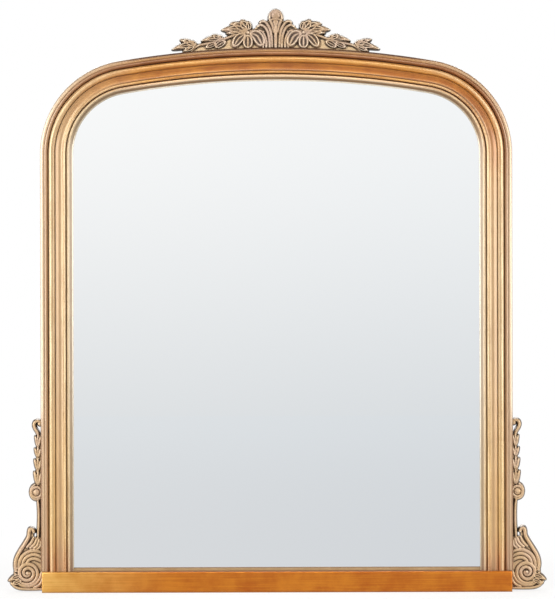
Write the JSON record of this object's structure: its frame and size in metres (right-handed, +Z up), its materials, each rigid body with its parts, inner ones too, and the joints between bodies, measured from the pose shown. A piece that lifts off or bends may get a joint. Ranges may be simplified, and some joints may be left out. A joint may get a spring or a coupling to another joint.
{
  "type": "wall mirror",
  "caption": "Arched overmantel wall mirror in a moulded gilt frame, with a leaf crest on the crown, scrolls beside the foot and folding rings on its back to hang it.",
  "frame": {"origin": "middle of the base, half way through the depth from the plinth's face to the wall pads", "axes": "+Z up, -Y out of the mirror's face, +Y to the wall, +X to the right of someone facing it"},
  "size_m": [0.9124, 0.049, 0.987],
  "materials": {
    "gilt_frame": "burnished warm gold with brown glaze in the quirks",
    "gilt_casting": "champagne gold, dark in the hollows",
    "silvered_glass": "clear silvered glass",
    "backing_board": "smooth brown hardboard",
    "bare_wood": "unfinished hardwood",
    "zinc_steel": "bright zinc",
    "rubber": "matt black"
  },
  "bodies": {
    "mirror": {"stile_left": "gilt_frame", "stile_right": "gilt_frame", "arch_left": "gilt_frame", "arch_right": "gilt_frame", "base_rail": "gilt_frame", "crest_ornament": "gilt_casting", "side_scroll_left": "gilt_casting", "side_scroll_right": "gilt_casting", "mirror_glass": "silvered_glass", "backing_board": "backing_board", "joint_tongues": "bare_wood", "crest_keys": "bare_wood", "scroll_keys": "bare_wood", "retaining_points": "zinc_steel", "hanger_strap_left": "zinc_steel", "hanger_strap_right": "zinc_steel", "hanger_screws": "zinc_steel", "glass_setting_blocks": "rubber", "wall_pads": "rubber"},
    "ring_left": {"hanger_ring_left": "zinc_steel"},
    "ring_right": {"hanger_ring_right": "zinc_steel"}
  },
  "joints": [
    {"name": "ring_left_swing", "type": "hinge", "parent": "mirror", "child": "ring_left", "pos_m": [-0.383, 0.01956, 0.6417], "axis": [-1, 0, 0], "range_deg": [0, 175]},
    {"name": "ring_right_swing", "type": "hinge", "parent": "mirror", "child": "ring_right", "pos_m": [0.383, 0.01956, 0.6417], "axis": [-1, 0, 0], "range_deg": [0, 175]}
  ]
}
